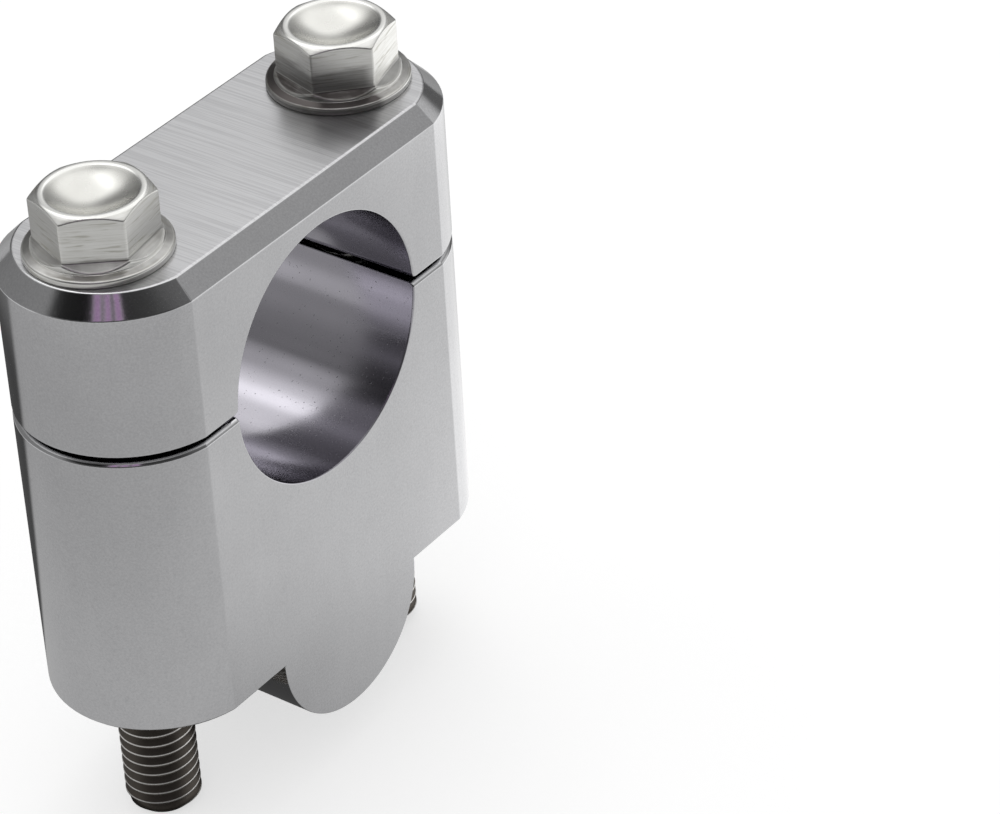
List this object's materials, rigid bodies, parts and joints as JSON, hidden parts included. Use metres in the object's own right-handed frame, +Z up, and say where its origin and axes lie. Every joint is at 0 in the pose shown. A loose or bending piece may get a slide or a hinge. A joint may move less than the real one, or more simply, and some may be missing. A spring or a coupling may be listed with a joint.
{
  "type": "motorcycle handlebar riser",
  "caption": "Tall two-piece handlebar clamp with a bevelled cap, a half-round lug underneath and long flange bolts with dished hexagon heads.",
  "frame": {"origin": "centre of the handlebar bore, midway along it", "axes": "+Y along the handlebar, +X from the front bolt to the rear bolt, +Z up, away from the saddle"},
  "size_m": [0.0574, 0.0234, 0.0747],
  "materials": {
    "polished_aluminium": "polished sides, top face brushed across its width",
    "plated_steel": "bright plated heads with light tool marks, dark oiled thread"
  },
  "bodies": {
    "root": {"top_cap": "polished_aluminium", "riser_body": "polished_aluminium", "front_bolt": "plated_steel", "rear_bolt": "plated_steel"}
  },
  "joints": []
}
